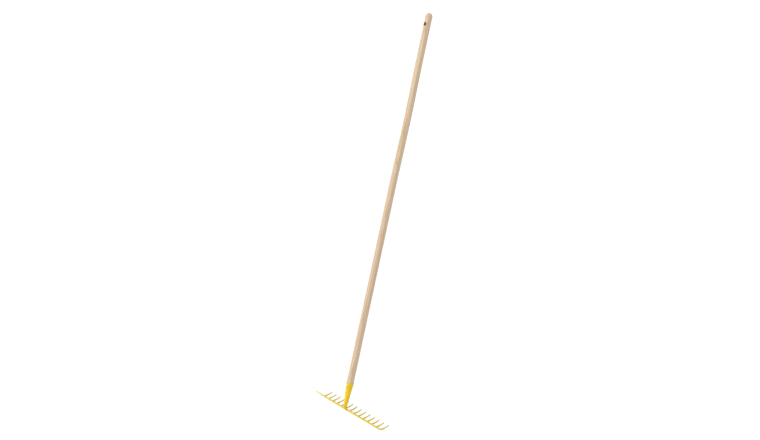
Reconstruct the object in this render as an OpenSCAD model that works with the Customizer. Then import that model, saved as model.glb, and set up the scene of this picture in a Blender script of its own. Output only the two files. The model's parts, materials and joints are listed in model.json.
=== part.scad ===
// Steel-headed rake on a long round wooden handle.
// The head is a forged bar with welded tines and a rolled sheet socket.
// +Z runs up the handle, +Y is the way the tines point, and X runs along the bar.
// The origin is the centre of the hole in the handle that the rake hangs from.

/* [Handle] */
// Length from the underside of the bar to the top of the handle
overall_length = 1610; // [1200:10:1900]
// Diameter of the handle
handle_d = 28; // [24:0.5:32]
// Height of the domed top
dome_h = 11; // [6:0.5:11.5]
// Distance from the top of the handle down to the centre of the hanging hole
hole_from_top = 45; // [25:1:80]
// Diameter of the hanging hole
hole_d = 12; // [5:0.5:14]

/* [Socket] */
// Height of the socket's rim above the underside of the bar
socket_top = 118.5; // [95:0.5:130]
// Height of the socket's lower end above the underside of the bar
socket_bottom = 16; // [14:0.5:20]
// Outer diameter of the socket's lower end
socket_foot_d = 14; // [13:0.5:16]
// Thickness of the socket's sheet
sheet_t = 1.5; // [1:0.1:2]
// How far the socket's rim stands proud of the handle all round
rim_lip = 1.35; // [0.4:0.05:1.45]
// Width of the gap along the socket's seam
seam_gap = 1; // [0.6:0.1:2]
// Length of the seam that is welded shut, from the lower end up
seam_weld_length = 42; // [20:1:60]

/* [Screws] */
// Diameter of the screws' shanks
screw_d = 4; // [3:0.5:5]
// Length of the screws under the head
screw_length = 18; // [12:1:20]
// Diameter of the screws' heads
screw_head_d = 8; // [6.5:0.5:9]
// Distance from the rim down to the upper screw
screw_from_rim = 12; // [10:1:16]
// Distance between the two screws
screw_spacing = 27; // [16:1:30]

/* [Bar] */
// Spacing of the tines along the bar
pitch = 27.7; // [24:0.1:32]
// How far the bar's centre lies in front of the handle's axis
bar_forward = 13; // [12:0.5:18]
// Height of the bar at its middle
bar_h = 6.2; // [6:0.1:8]
// Depth of the bar at its middle, front to back
bar_depth = 5.6; // [5.2:0.1:7]
// Radius of the centre line where the bar bends into the end tine
bend_r = 14; // [10:0.5:18]
// Length of the straight point at the other end of the bar
point_length = 48; // [30:1:60]

/* [Tines] */
// How far the tips reach forward of the bar's centre
tine_reach = 42; // [36:0.5:60]
// Height of the tips' undersides above the underside of the bar
tine_rise = 17; // [12:0.5:26]
// Angle above level at which a tine leaves the bar
root_angle = 10; // [2:1:12]
// Height of a tine at its root
tine_h = 5.5; // [4.5:0.1:6]
// Height of a tine at its tip
tine_tip_h = 3.6; // [3:0.1:4]
// Width of a tine at its root
tine_w = 4.6; // [4:0.1:5]
// Width of a tine at its tip
tine_tip_w = 3.2; // [2.5:0.1:3.8]

/* [Hidden] */
positions = 16;      // tine positions that the bar is laid out for
first_tine = 2;      // position 1 is the bent end of the bar itself
last_tine = 14;      // the last positions are the bar's straight point

head_z = hole_from_top - overall_length;    // the underside of the bar
handle_r = handle_d / 2;
rim_r = handle_r + rim_lip;
foot_r = socket_foot_d / 2;
shoulder_h = 1.5;                           // bevel from the handle down to its tapered end
plug_top = socket_bottom + 8;               // top of the neck inside the socket
wood_bottom = plug_top + 2;                 // lower end of the handle inside the socket
cap_r = (handle_r * handle_r + dome_h * dome_h) / (2 * dome_h);

bar_front = bar_forward + tine_w / 2;
bar_back = bar_front - bar_depth;           // at the middle of the bar
end_back = bar_front - tine_w;              // at its ends
bar_swell = 25;                             // half the length of the bar's thick middle
corner_x = tine_x(1) - bend_r;              // where the bar starts to bend
left_tip_x = tine_x(positions) - 1;
point_x = left_tip_x + point_length;        // where the bar starts to thin to its point
point_half = 0.9;                           // half the thickness of the point's end

collar = 0.9;                               // how far the neck stands out under the socket
neck_foot_w = 18;                           // width of the neck where it meets the bar
neck_foot_z = 0.2;
neck_foot_h = 5.8;
weld_r = 1.5;                               // radius of the welds' fillets
bead_proud = 0.6;                           // how far the seam weld stands out of the sheet
bead_w = 3;

tip_y = bar_forward + tine_reach;
tine_top = 60;                              // above every tine, for the outlines to be cut from

// Radius and centre of the arc that leaves point p at angle a and passes through point q
function arc_r(p, q, a) = norm(q - p) / (2 * sin(atan2(q.y - p.y, q.x - p.x) - a));
function arc_centre(p, r, a) = p + r * [-sin(a), cos(a)];
function arc_end_angle(p, q, a) = 2 * atan2(q.y - p.y, q.x - p.x) - a;

// A tine's lower and upper arcs, seen from the side: forward is x and height is y here
low_root = [bar_front, 0];
low_tip = [tip_y, tine_rise];
tip_angle = arc_end_angle(low_root, low_tip, root_angle);
low_r = arc_r(low_root, low_tip, root_angle);
high_root = [bar_front, tine_h];
high_tip = low_tip + tine_tip_h * [-sin(tip_angle), cos(tip_angle)];
high_r = arc_r(high_root, high_tip, root_angle);

function tine_x(k) = ((positions + 1) / 2 - k) * pitch;
function tine_name(k) = str("tine_", k < 10 ? "0" : "", k);
function cone_r(z) = foot_r + (rim_r - foot_r) * (z - socket_bottom) / (socket_top - socket_bottom);
function screw_z(i) = socket_top - screw_from_rim - i * screw_spacing;

$fn = 96;

// Places a piece of the head, which is drawn from the underside of the bar up
module on_head() {
    translate([0, 0, head_z]) children();
}

// A solid cone that follows the socket, with its side moved out by so much
module socket_cone(z0, z1, outer) {
    translate([0, 0, z0])
        cylinder(h = z1 - z0, r1 = cone_r(z0) + outer, r2 = cone_r(z1) + outer);
}

// Shank of one screw, from the back of the socket forward into the handle
module screw_shank(i, above = 1) {
    translate([0, -cone_r(screw_z(i)) - above, screw_z(i)])
        rotate([-90, 0, 0]) cylinder(h = screw_length + above, d = screw_d);
}

// Pan head of one screw, with a crossed slot, seated on the sloping sheet
module screw_head(i) {
    head_h = 2.4;
    slot_w = 1.2;
    dome_r = screw_head_d * 0.75;
    seat = cone_r(screw_z(i) + screw_head_d / 2);
    translate([0, -seat, screw_z(i)])
        rotate([90, 0, 0])
            difference() {
                intersection() {
                    cylinder(h = head_h, d = screw_head_d);
                    translate([0, 0, head_h - dome_r]) sphere(r = dome_r);
                }
                for (a = [0, 90])
                    rotate([0, 0, a])
                        translate([0, 0, head_h]) cube([screw_head_d * 0.6, slot_w, 2], center = true);
            }
}

// One length of ash: domed on top, drilled for hanging, tapered below to fill the socket
module handle() {
    color("burlywood")
        difference() {
            union() {
                on_head() {
                    translate([0, 0, socket_top + shoulder_h])
                        cylinder(h = overall_length - dome_h - socket_top - shoulder_h, r = handle_r);
                    translate([0, 0, socket_top])
                        cylinder(h = shoulder_h, r1 = rim_r - sheet_t, r2 = handle_r);
                    socket_cone(wood_bottom, socket_top, -sheet_t);
                }
                translate([0, 0, hole_from_top - cap_r])
                    intersection() {
                        sphere(r = cap_r);
                        translate([0, 0, cap_r - dome_h]) cylinder(h = dome_h, r = handle_r);
                    }
            }
            rotate([90, 0, 0]) cylinder(h = handle_d + 2, d = hole_d, center = true);
            on_head() for (i = [0, 1]) screw_shank(i);
        }
}

// Wall that follows the socket round the handle, between two distances from its outer face
module socket_wall(z0, z1, inner, outer) {
    rotate_extrude()
        polygon([
            [cone_r(z0) + inner, z0], [cone_r(z0) + outer, z0],
            [cone_r(z1) + outer, z1], [cone_r(z1) + inner, z1]
        ]);
}

// A thin upright slab on the socket's front, where its seam is
module seam_slab(width) {
    translate([-width / 2, 0, 0]) cube([width, 2 * rim_r, 2 * socket_top]);
}

// Sheet steel rolled into a cone, with the gap of its seam facing forward
module socket() {
    color("gold")
        on_head()
            difference() {
                socket_wall(socket_bottom, socket_top, -sheet_t, 0);
                seam_slab(seam_gap);
                for (i = [0, 1]) screw_shank(i);
            }
}

// Weld that fills the lower part of the seam and stands a little proud of it
module seam_weld() {
    z0 = socket_bottom + 2;
    z1 = z0 + seam_weld_length;
    color("gold")
        on_head() {
            intersection() {
                socket_wall(z0, z1, -sheet_t, bead_proud);
                seam_slab(seam_gap);
            }
            intersection() {
                socket_wall(z0, z1, 0, bead_proud);
                seam_slab(bead_w);
            }
        }
}

// Two pan-head screws through the back of the socket into the handle
module socket_screws() {
    color("khaki")
        on_head()
            for (i = [0, 1]) {
                screw_shank(i, cone_r(screw_z(i) + screw_head_d / 2) - cone_r(screw_z(i)) + 0.5);
                screw_head(i);
            }
}

// Forged tang: a plug inside the socket, a collar under it, and a foot that reaches the bar
module neck() {
    color("gold")
        on_head() {
            socket_cone(socket_bottom, plug_top, -sheet_t);
            hull() {
                translate([0, 0, socket_bottom - 0.5]) cylinder(h = 0.5, r = foot_r + collar, $fn = 32);
                translate([-neck_foot_w / 2, bar_back - 0.5, neck_foot_z])
                    cube([neck_foot_w, 0.5, neck_foot_h]);
            }
        }
}

// Ring of weld round the socket's lower end, on the neck's collar
module socket_weld() {
    top = socket_bottom + collar;
    color("gold")
        on_head()
            rotate_extrude()
                polygon([[foot_r, socket_bottom], [foot_r + collar, socket_bottom], [cone_r(top), top]]);
}

// Bead down each side of the joint between the neck and the bar
module neck_weld() {
    color("gold")
        on_head()
            for (side = [-1, 1])
                translate([side * neck_foot_w / 2, bar_back, neck_foot_z])
                    intersection() {
                        cylinder(h = neck_foot_h, r = weld_r);
                        translate([side > 0 ? 0 : -weld_r, -weld_r, 0]) cube([weld_r, weld_r, neck_foot_h]);
                    }
}

// Side view of a tine: two arcs that close in on each other from root to tip
module tine_profile() {
    intersection() {
        difference() {
            translate(arc_centre(low_root, low_r, root_angle)) circle(r = low_r, $fn = 720);
            translate(arc_centre(high_root, high_r, root_angle)) circle(r = high_r, $fn = 720);
        }
        translate([bar_front, -1]) square([tine_reach, tine_top]);
    }
}

// A tine seen from above, from y0 forward to its rounded tip
module tine_outline(y0) {
    round_y = tip_y - tine_tip_w / 2;
    polygon([
        [-tine_w / 2, y0], [tine_w / 2, y0],
        [tine_tip_w / 2, round_y], [-tine_tip_w / 2, round_y]
    ]);
    translate([0, round_y]) circle(d = tine_tip_w);
}

// A curved tine, square at its root where it is welded to the front of the bar
module tine(k) {
    color("yellow")
        on_head()
            translate([tine_x(k), 0, 0])
                intersection() {
                    rotate([90, 0, 90]) linear_extrude(2 * tine_w, center = true) tine_profile();
                    linear_extrude(tine_top) tine_outline(bar_front);
                }
}

// The bar seen from above: a thick middle, a straight point, and the bend into the end tine
module bar_outline() {
    polygon([
        [left_tip_x, bar_forward - point_half], [point_x, end_back],
        [-bar_swell, bar_back], [bar_swell, bar_back],
        [corner_x, end_back], [corner_x, bar_front],
        [point_x, bar_front], [left_tip_x, bar_forward + point_half]
    ]);
    translate([corner_x, bar_forward + bend_r])
        intersection() {
            difference() {
                circle(r = bend_r + tine_w / 2);
                circle(r = bend_r - tine_w / 2);
            }
            translate([0, -2 * bend_r]) square(2 * bend_r);
        }
    translate([tine_x(1), 0]) tine_outline(bar_forward + bend_r);
}

// The bar from the front: flat underneath, and lower towards its ends
module bar_elevation() {
    overlap = 3;
    polygon([
        [left_tip_x, tine_h / 2 - point_half], [point_x, 0],
        [corner_x + overlap, 0], [corner_x + overlap, tine_h], [corner_x, tine_h],
        [bar_swell, bar_h], [-bar_swell, bar_h],
        [point_x, tine_h], [left_tip_x, tine_h / 2 + point_half]
    ]);
}

// One forging: the bar, its bent end tine and its drawn point
module rake_bar() {
    color("gold")
        on_head()
            intersection() {
                linear_extrude(tine_top) bar_outline();
                union() {
                    translate([0, bar_front, 0]) rotate([90, 0, 0]) linear_extrude(2 * bar_depth) bar_elevation();
                    translate([corner_x, 0, 0])
                        rotate([90, 0, 90])
                            linear_extrude(2 * bend_r) {
                                translate([bar_front - 2 * bar_depth, 0]) square([2 * bar_depth, tine_h]);
                                tine_profile();
                            }
                }
            }
}

// A fillet of weld down each side of every tine's root
module tine_welds() {
    color("gold")
        on_head()
            for (k = [first_tine:last_tine], side = [-1, 1])
                translate([tine_x(k) + side * tine_w / 2, bar_front, 0.4])
                    intersection() {
                        cylinder(h = tine_h - 1, r = weld_r);
                        translate([side > 0 ? 0 : -weld_r, 0, -1]) cube([weld_r, weld_r, tine_h]);
                    }
}

handle();
socket();
seam_weld();
socket_screws();
neck();
socket_weld();
neck_weld();
rake_bar();
for (k = [first_tine:last_tine])
    tine(k);
tine_welds();
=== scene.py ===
import json
import math

import bmesh
import bpy
import numpy as np
from mathutils import Matrix, Vector, noise


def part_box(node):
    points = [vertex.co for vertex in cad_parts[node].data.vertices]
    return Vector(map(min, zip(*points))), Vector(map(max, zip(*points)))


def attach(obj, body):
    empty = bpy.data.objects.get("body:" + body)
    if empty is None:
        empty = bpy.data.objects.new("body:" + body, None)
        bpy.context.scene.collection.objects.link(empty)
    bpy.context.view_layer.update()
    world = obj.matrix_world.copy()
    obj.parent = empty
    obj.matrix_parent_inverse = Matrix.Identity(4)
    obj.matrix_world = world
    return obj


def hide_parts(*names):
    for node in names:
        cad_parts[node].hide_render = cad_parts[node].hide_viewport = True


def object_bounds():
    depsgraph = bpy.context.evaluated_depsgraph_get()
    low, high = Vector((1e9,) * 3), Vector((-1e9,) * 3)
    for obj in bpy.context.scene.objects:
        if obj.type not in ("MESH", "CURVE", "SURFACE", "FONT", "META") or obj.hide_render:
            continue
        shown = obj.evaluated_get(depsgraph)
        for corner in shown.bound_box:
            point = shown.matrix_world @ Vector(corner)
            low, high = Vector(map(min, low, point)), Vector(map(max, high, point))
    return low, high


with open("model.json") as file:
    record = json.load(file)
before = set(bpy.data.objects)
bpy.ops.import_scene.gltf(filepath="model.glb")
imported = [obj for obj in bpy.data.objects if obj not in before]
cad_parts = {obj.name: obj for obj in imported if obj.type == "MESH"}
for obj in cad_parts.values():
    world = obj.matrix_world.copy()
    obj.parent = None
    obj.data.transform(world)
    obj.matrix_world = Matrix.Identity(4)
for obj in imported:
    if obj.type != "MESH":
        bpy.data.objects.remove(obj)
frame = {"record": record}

# THE ROOM
# The rake stands on a wide pale floor under an even white sky. A broad soft lamp stands on the left, and
# weaker ones on the right and behind. The camera looks slightly down at the handle and leans to one side.
mm = 0.001
rake_low, rake_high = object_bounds()
handle_middle = (rake_low.z + rake_high.z) / 2

heading = math.radians(-47.01)
tilt = math.radians(-5.553)
lean = math.radians(12.09)
aim = Vector((-1.5 * mm, -26.0 * mm, handle_middle - 17.3 * mm))
distance = 3.34
ahead = Vector((math.sin(heading) * math.cos(tilt), math.cos(heading) * math.cos(tilt), math.sin(tilt)))
level_right = ahead.cross(Vector((0, 0, 1))).normalized()
level_up = level_right.cross(ahead)
camera_right = math.cos(lean) * level_right + math.sin(lean) * level_up
camera_up = math.cos(lean) * level_up - math.sin(lean) * level_right

lens = bpy.data.cameras.new("camera")
lens.lens = 40.263
lens.sensor_width = 36
lens.clip_start = 0.01
lens.clip_end = 200
camera = bpy.data.objects.new("camera", lens)
camera.matrix_world = Matrix.Translation(aim - distance * ahead) @ Matrix(
    (camera_right, camera_up, -ahead)).transposed().to_4x4()
bpy.context.scene.collection.objects.link(camera)
bpy.context.scene.camera = camera


def hang_lamp(name, towards, power, spread):
    """A soft distant lamp that shines along the given direction."""
    lamp = bpy.data.lights.new(name, "SUN")
    lamp.energy = power
    lamp.angle = math.radians(spread)
    holder = bpy.data.objects.new(name, lamp)
    holder.rotation_euler = towards.to_track_quat("-Z", "Y").to_euler()
    bpy.context.scene.collection.objects.link(holder)


hang_lamp("key_lamp", level_right + 0.45 * ahead - Vector((0, 0, 0.60)), 2.14, 36)
hang_lamp("fill_lamp", -level_right + 0.5 * ahead - Vector((0, 0, 0.35)), 0.68, 60)
hang_lamp("back_lamp", 0.3 * level_right - ahead - Vector((0, 0, 0.20)), 0.9, 40)

sky = bpy.data.worlds.new("white_sky")
sky.use_nodes = True
sky_light = sky.node_tree.nodes["Background"]
sky_seen = sky.node_tree.nodes.new("ShaderNodeBackground")
sky_choice = sky.node_tree.nodes.new("ShaderNodeMixShader")
sky_ray = sky.node_tree.nodes.new("ShaderNodeLightPath")
sky_light.inputs["Color"].default_value = (1.0, 1.0, 1.0, 1.0)
sky_light.inputs["Strength"].default_value = 0.58
sky_seen.inputs["Color"].default_value = (1.0, 1.0, 1.0, 1.0)
sky_seen.inputs["Strength"].default_value = 1.1
sky.node_tree.links.new(sky_ray.outputs["Is Camera Ray"], sky_choice.inputs[0])
sky.node_tree.links.new(sky_light.outputs[0], sky_choice.inputs[1])
sky.node_tree.links.new(sky_seen.outputs[0], sky_choice.inputs[2])
sky.node_tree.links.new(sky_choice.outputs[0], sky.node_tree.nodes["World Output"].inputs["Surface"])
bpy.context.scene.world = sky
bpy.context.scene.view_settings.view_transform = "Standard"

floor_mesh = bpy.data.meshes.new("floor")
floor_shape = bmesh.new()
bmesh.ops.create_circle(floor_shape, cap_ends=True, segments=96, radius=60)
bmesh.ops.translate(floor_shape, verts=floor_shape.verts, vec=(0, 0, rake_low.z))
floor_shape.to_mesh(floor_mesh)
floor_shape.free()
floor = bpy.data.objects.new("floor", floor_mesh)
bpy.context.scene.collection.objects.link(floor)
floor_finish = bpy.data.materials.new("pale_floor")
floor_finish.use_nodes = True
floor_tree = floor_finish.node_tree
floor_shader = floor_tree.nodes["Principled BSDF"]
floor_shader.inputs["Base Color"].default_value = (0.80, 0.80, 0.80, 1)
floor_shader.inputs["Roughness"].default_value = 0.9
floor_seen = floor_tree.nodes.new("ShaderNodeEmission")
floor_seen.inputs["Strength"].default_value = 1.09
floor_choice = floor_tree.nodes.new("ShaderNodeMixShader")
floor_ray = floor_tree.nodes.new("ShaderNodeLightPath")
floor_share = floor_tree.nodes.new("ShaderNodeMath")
floor_share.operation = "MULTIPLY"
floor_share.inputs[1].default_value = 0.8
floor_tree.links.new(floor_ray.outputs["Is Camera Ray"], floor_share.inputs[0])
floor_tree.links.new(floor_share.outputs[0], floor_choice.inputs[0])
floor_tree.links.new(floor_shader.outputs[0], floor_choice.inputs[1])
floor_tree.links.new(floor_seen.outputs[0], floor_choice.inputs[2])
floor_tree.links.new(floor_choice.outputs[0], floor_tree.nodes["Material Output"].inputs["Surface"])
floor_mesh.materials.append(floor_finish)


# YELLOW PAINT
# The steel head is stove-enamelled after it is welded: a golden-yellow coat with a faint orange peel. It is
# thinner and a little greener out on the bar and tines, and is chipped to bare steel at edges and tips.
def node(tree, kind, inputs=None, **settings):
    """Adds one node, sets its options, and fills or wires its inputs."""
    made = tree.nodes.new(kind)
    for option, value in settings.items():
        setattr(made, option, value)
    for socket, value in (inputs or {}).items():
        if isinstance(value, bpy.types.NodeSocket):
            tree.links.new(value, made.inputs[socket])
        else:
            made.inputs[socket].default_value = value
    return made


def calc(tree, operation, a, b=0.0, c=0.0):
    """The number that one sum on numbers gives."""
    return node(tree, "ShaderNodeMath", {0: a, 1: b, 2: c}, operation=operation).outputs[0]


def calc_vector(tree, operation, a, b=(0.0, 0.0, 0.0)):
    """The vector that one sum on vectors gives."""
    return node(tree, "ShaderNodeVectorMath", {0: a, 1: b}, operation=operation).outputs["Vector"]


def ease(tree, value, start, end, first=0.0, last=1.0):
    """The value turned smoothly from first at start to last at end."""
    inputs = {"Value": value, "From Min": start, "From Max": end, "To Min": first, "To Max": last}
    return node(tree, "ShaderNodeMapRange", inputs, interpolation_type="SMOOTHSTEP").outputs["Result"]


def cloud(tree, place, scale, detail=2.0, roughness=0.5, distortion=0.0):
    """A noise value from 0 to 1 at that place."""
    inputs = {"Vector": place, "Scale": scale, "Detail": detail, "Roughness": roughness,
              "Distortion": distortion}
    return node(tree, "ShaderNodeTexNoise", inputs).outputs["Fac"]


def tint(tree, share, a, b, way="MIX"):
    """The colour between a and b."""
    mixed = node(tree, "ShaderNodeMix", {0: share, 6: a, 7: b}, data_type="RGBA", blend_type=way)
    return mixed.outputs[2]


def new_group(name, kind, inputs, outputs):
    """An empty node group with named inputs and outputs, and its two end nodes."""
    group = bpy.data.node_groups.new(name, kind)
    for label, socket, value in inputs:
        made = group.interface.new_socket(name=label, in_out="INPUT", socket_type="NodeSocket" + socket)
        if value is not None:
            made.default_value = value
    for label, socket in outputs:
        group.interface.new_socket(name=label, in_out="OUTPUT", socket_type="NodeSocket" + socket)
    return group, group.nodes.new("NodeGroupInput"), group.nodes.new("NodeGroupOutput")


def use_group(tree, group, inputs):
    """Places a node group in a tree with its own values."""
    placed = tree.nodes.new(tree.bl_idname.replace("Tree", "Group"))
    placed.node_tree = group
    for socket, value in inputs.items():
        if isinstance(value, bpy.types.NodeSocket):
            tree.links.new(value, placed.inputs[socket])
        else:
            placed.inputs[socket].default_value = value
    return placed


def finish_of(name):
    """A new material, with its tree, its main shader and the place on the piece in millimetres."""
    made = bpy.data.materials.new(name)
    made.use_nodes = True
    tree = made.node_tree
    place = node(tree, "ShaderNodeTexCoord").outputs["Object"]
    place = calc_vector(tree, "MULTIPLY", place, (1000.0, 1000.0, 1000.0))
    return made, tree, tree.nodes["Principled BSDF"], place


# Broad patches with finer ones on them, for colour and shine that are never quite even
mottle, given, result = new_group(
    "mottle", "ShaderNodeTree",
    [("Place", "Vector", None), ("Patch Size", "Float", 20.0), ("Fleck Size", "Float", 2.0),
     ("Fleck Share", "Float", 0.35)],
    [("Value", "Float")])
patch_scale = calc(mottle, "DIVIDE", 1.0, given.outputs["Patch Size"])
patches = cloud(mottle, given.outputs["Place"], patch_scale)
fleck_scale = calc(mottle, "DIVIDE", 1.0, given.outputs["Fleck Size"])
flecks = cloud(mottle, given.outputs["Place"], fleck_scale, 3.0)
both = node(mottle, "ShaderNodeMix", {
    0: given.outputs["Fleck Share"], 2: patches, 3: flecks}).outputs[0]
mottle.links.new(ease(mottle, both, 0.28, 0.72), result.inputs["Value"])

# Where an edge is rubbed: Rub is a soft band along it, and Chip is the bare spots inside the band
wear, given, result = new_group(
    "edge_wear", "ShaderNodeTree",
    [("Place", "Vector", None), ("Edge", "Float", 0.0), ("Chip Size", "Float", 1.2),
     ("Amount", "Float", 0.5)],
    [("Rub", "Float"), ("Chip", "Float")])
spot_scale = calc(wear, "DIVIDE", 1.0, given.outputs["Chip Size"])
spots = cloud(wear, given.outputs["Place"], spot_scale, 4.0, 0.62)
drift_scale = calc(wear, "DIVIDE", 0.09, given.outputs["Chip Size"])
drift = cloud(wear, given.outputs["Place"], drift_scale, 1.0)
reach = calc(wear, "MULTIPLY", given.outputs["Edge"], ease(wear, drift, 0.35, 0.7, 0.45, 1.0))
level = calc(wear, "MULTIPLY", reach, given.outputs["Amount"])
rub = calc(wear, "MULTIPLY", reach, ease(wear, spots, 0.2, 0.75, 0.5, 1.0))
wear.links.new(rub, result.inputs["Rub"])
bare = calc(wear, "ADD", spots, calc(wear, "MULTIPLY", level, 0.55))
wear.links.new(ease(wear, bare, 0.86, 0.93), result.inputs["Chip"])

paint, tree, shader, place = finish_of("yellow_paint")
coat = use_group(tree, mottle, {"Place": place, "Patch Size": 26.0, "Fleck Size": 3.0}).outputs["Value"]
edge = node(tree, "ShaderNodeAttribute", attribute_name="edge").outputs["Fac"]
crease = node(tree, "ShaderNodeAttribute", attribute_name="crease").outputs["Fac"]
worn = use_group(tree, wear, {"Place": place, "Edge": edge, "Chip Size": 1.1, "Amount": 0.46})
across, forward = node(tree, "ShaderNodeSeparateXYZ", {0: place}).outputs[:2]
from_axis = calc(tree, "MULTIPLY", across, across)
from_axis = calc(tree, "SQRT", calc(tree, "ADD", from_axis, calc(tree, "MULTIPLY", forward, forward)))
thin_coat = ease(tree, from_axis, 14.0, 32.0)
tips = calc(tree, "MAXIMUM", ease(tree, forward, 49.0, 54.6), ease(tree, across, -192.0, -208.0))
scraped = calc(tree, "ADD", cloud(tree, place, 0.8, 3.0, 0.6), calc(tree, "MULTIPLY", tips, 0.26))
scraped = calc(tree, "MULTIPLY", ease(tree, scraped, 0.70, 0.76), ease(tree, tips, 0.0, 0.3))
bare = calc(tree, "MAXIMUM", worn.outputs["Chip"], scraped)
yellow = tint(tree, coat, (0.74, 0.485, 0.001, 1), (0.82, 0.58, 0.003, 1))
yellow = tint(tree, calc(tree, "MULTIPLY", thin_coat, 0.62), yellow, (0.59, 0.49, 0.003, 1))
# Painted shade: the coat is darkened and warmed along inward creases, such as the dips between weld
# ripples; part of it stands for paint pooled thicker there.
yellow = tint(tree, calc(tree, "MULTIPLY", crease, 0.55), yellow, (0.52, 0.30, 0.004, 1))
yellow = tint(tree, calc(tree, "MULTIPLY", worn.outputs["Rub"], 0.35), yellow, (0.66, 0.53, 0.035, 1))
specks = ease(tree, cloud(tree, place, 1.7, 2.0), 0.70, 0.76)
yellow = tint(tree, calc(tree, "MULTIPLY", specks, 0.25), yellow, (0.45, 0.29, 0.01, 1))
steel = tint(tree, cloud(tree, place, 0.9), (0.10, 0.09, 0.08, 1), (0.24, 0.22, 0.20, 1))
tree.links.new(tint(tree, bare, yellow, steel), shader.inputs["Base Color"])
tree.links.new(calc(tree, "MULTIPLY", bare, 0.8), shader.inputs["Metallic"])
shine = ease(tree, coat, 0.0, 1.0, 0.36, 0.27)
shine = calc(tree, "ADD", shine, calc(tree, "MULTIPLY", worn.outputs["Rub"], 0.12))
shine = calc(tree, "ADD", shine, calc(tree, "MULTIPLY", bare, 0.2))
tree.links.new(shine, shader.inputs["Roughness"])
tree.links.new(ease(tree, coat, 0.0, 1.0, 0.14, 0.34), shader.inputs["Coat Weight"])
shader.inputs["Coat Roughness"].default_value = 0.09
shader.inputs["Specular IOR Level"].default_value = 0.26
peel = calc(tree, "MULTIPLY", cloud(tree, place, 0.85, 1.0), 0.030)
sag = calc(tree, "MULTIPLY", cloud(tree, place, 0.16, 1.0), 0.10)
relief = calc(tree, "ADD", peel, sag)
relief = calc(tree, "SUBTRACT", relief, calc(tree, "MULTIPLY", bare, 0.06))
bump = node(tree, "ShaderNodeBump", {"Height": relief, "Distance": 1 * mm, "Strength": 1.0})
tree.links.new(bump.outputs["Normal"], shader.inputs["Normal"])


# RAKE BAR
# One length of hot-forged steel: a thick middle, a long drawn point at one end, and the other end bent
# forward into the last tine. Its underside is flat, and hammering has left its faces slightly uneven.
def rounded_ring(centre, side, above, corner, steps=5):
    """Points round a rounded rectangle. Side and above reach from its centre to its faces."""
    wide = side.length
    tall = above.length
    corner = min(corner, 0.96 * wide, 0.96 * tall)
    ring = []
    for quarter, (x_sign, z_sign) in enumerate(((1, 1), (-1, 1), (-1, -1), (1, -1))):
        for step in range(steps + 1):
            angle = math.pi / 2 * (quarter + step / steps)
            x = x_sign * (wide - corner) + corner * math.cos(angle)
            z = z_sign * (tall - corner) + corner * math.sin(angle)
            ring.append(centre + side * (x / wide) + above * (z / tall))
    return ring


def skin(name, rings, looped=False):
    """A closed mesh drawn through the rings, with both ends filled."""
    shape = bmesh.new()
    loops = [[shape.verts.new(point) for point in ring] for ring in rings]
    for below, above in zip(loops, loops[1:] + (loops[:1] if looped else [])):
        for i in range(len(below)):
            j = (i + 1) % len(below)
            shape.faces.new((below[i], below[j], above[j], above[i]))
    if not looped:
        shape.faces.new(loops[0][::-1])
        shape.faces.new(loops[-1])
    bmesh.ops.recalc_face_normals(shape, faces=shape.faces)
    mesh = bpy.data.meshes.new(name)
    shape.to_mesh(mesh)
    shape.free()
    piece = bpy.data.objects.new(name, mesh)
    bpy.context.scene.collection.objects.link(piece)
    return piece


def hammer(piece, spacing, depth):
    """Moves the surface in and out a little, as hammering and rolling leave it."""
    normals = [v.normal.copy() for v in piece.data.vertices]
    for vertex, normal in zip(piece.data.vertices, normals):
        vertex.co += normal * (noise.noise(vertex.co / spacing) * depth)


def mark_edges(piece):
    """Keeps on the mesh how sharply it turns outwards (edge) or inwards (crease) at each point."""
    mesh = piece.data
    count = len(mesh.vertices)
    place = np.zeros(count * 3)
    normal = np.zeros(count * 3)
    ends = np.zeros(len(mesh.edges) * 2, dtype=np.int32)
    mesh.vertices.foreach_get("co", place)
    mesh.vertices.foreach_get("normal", normal)
    mesh.edges.foreach_get("vertices", ends)
    place = place.reshape(-1, 3)
    normal = normal.reshape(-1, 3)
    a, b = ends.reshape(-1, 2).T
    step = place[b] - place[a]
    length = np.maximum((step ** 2).sum(1), 1e-10)
    turn = ((normal[b] - normal[a]) * step).sum(1) / length
    outward = np.zeros(count)
    inward = np.zeros(count)
    for point in (a, b):
        np.maximum.at(outward, point, turn)
        np.maximum.at(inward, point, -turn)
    gentle_turn = 180.0
    sharp_turn = 1080.0
    for label, curve in (("edge", outward), ("crease", inward)):
        share = np.clip((curve - gentle_turn) / (sharp_turn - gentle_turn), 0, 1)
        layer = mesh.attributes.get(label) or mesh.attributes.new(label, "FLOAT", "POINT")
        layer.data.foreach_set("value", share.astype(np.float32))


def fit(piece, finish, slot, *cad_nodes):
    """Gives a finished piece its material and puts it in the place of its CAD nodes."""
    mark_edges(piece)
    piece.data.shade_smooth()
    piece.data.materials.clear()
    piece.data.materials.append(finish)
    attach(piece, "root")
    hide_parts(*cad_nodes)


bar_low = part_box("rake_bar")[0]
tine_low, tine_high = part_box("tine_02")
far_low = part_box("tine_14")[0]
underside = bar_low.z
bar_front = tine_low.y
tip_y = tine_high.y
tine_width = tine_high.x - tine_low.x
tine_spacing = (tine_low.x - far_low.x) / 12
bar_line = bar_front - tine_width / 2
middle_back = bar_low.y
middle_height = 6.2 * mm
tine_height = 5.5 * mm
tip_height = 3.6 * mm
tip_width = 3.2 * mm
tip_rise = 17.0 * mm
root_angle = math.radians(10)
bend_radius = 14.0 * mm
end_tine_x = (tine_low.x + tine_high.x) / 2 + tine_spacing
bend_x = end_tine_x - bend_radius
point_start = bar_low.x + 48.0 * mm
point_half = 0.9 * mm
swell_half = 25.0 * mm


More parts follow.
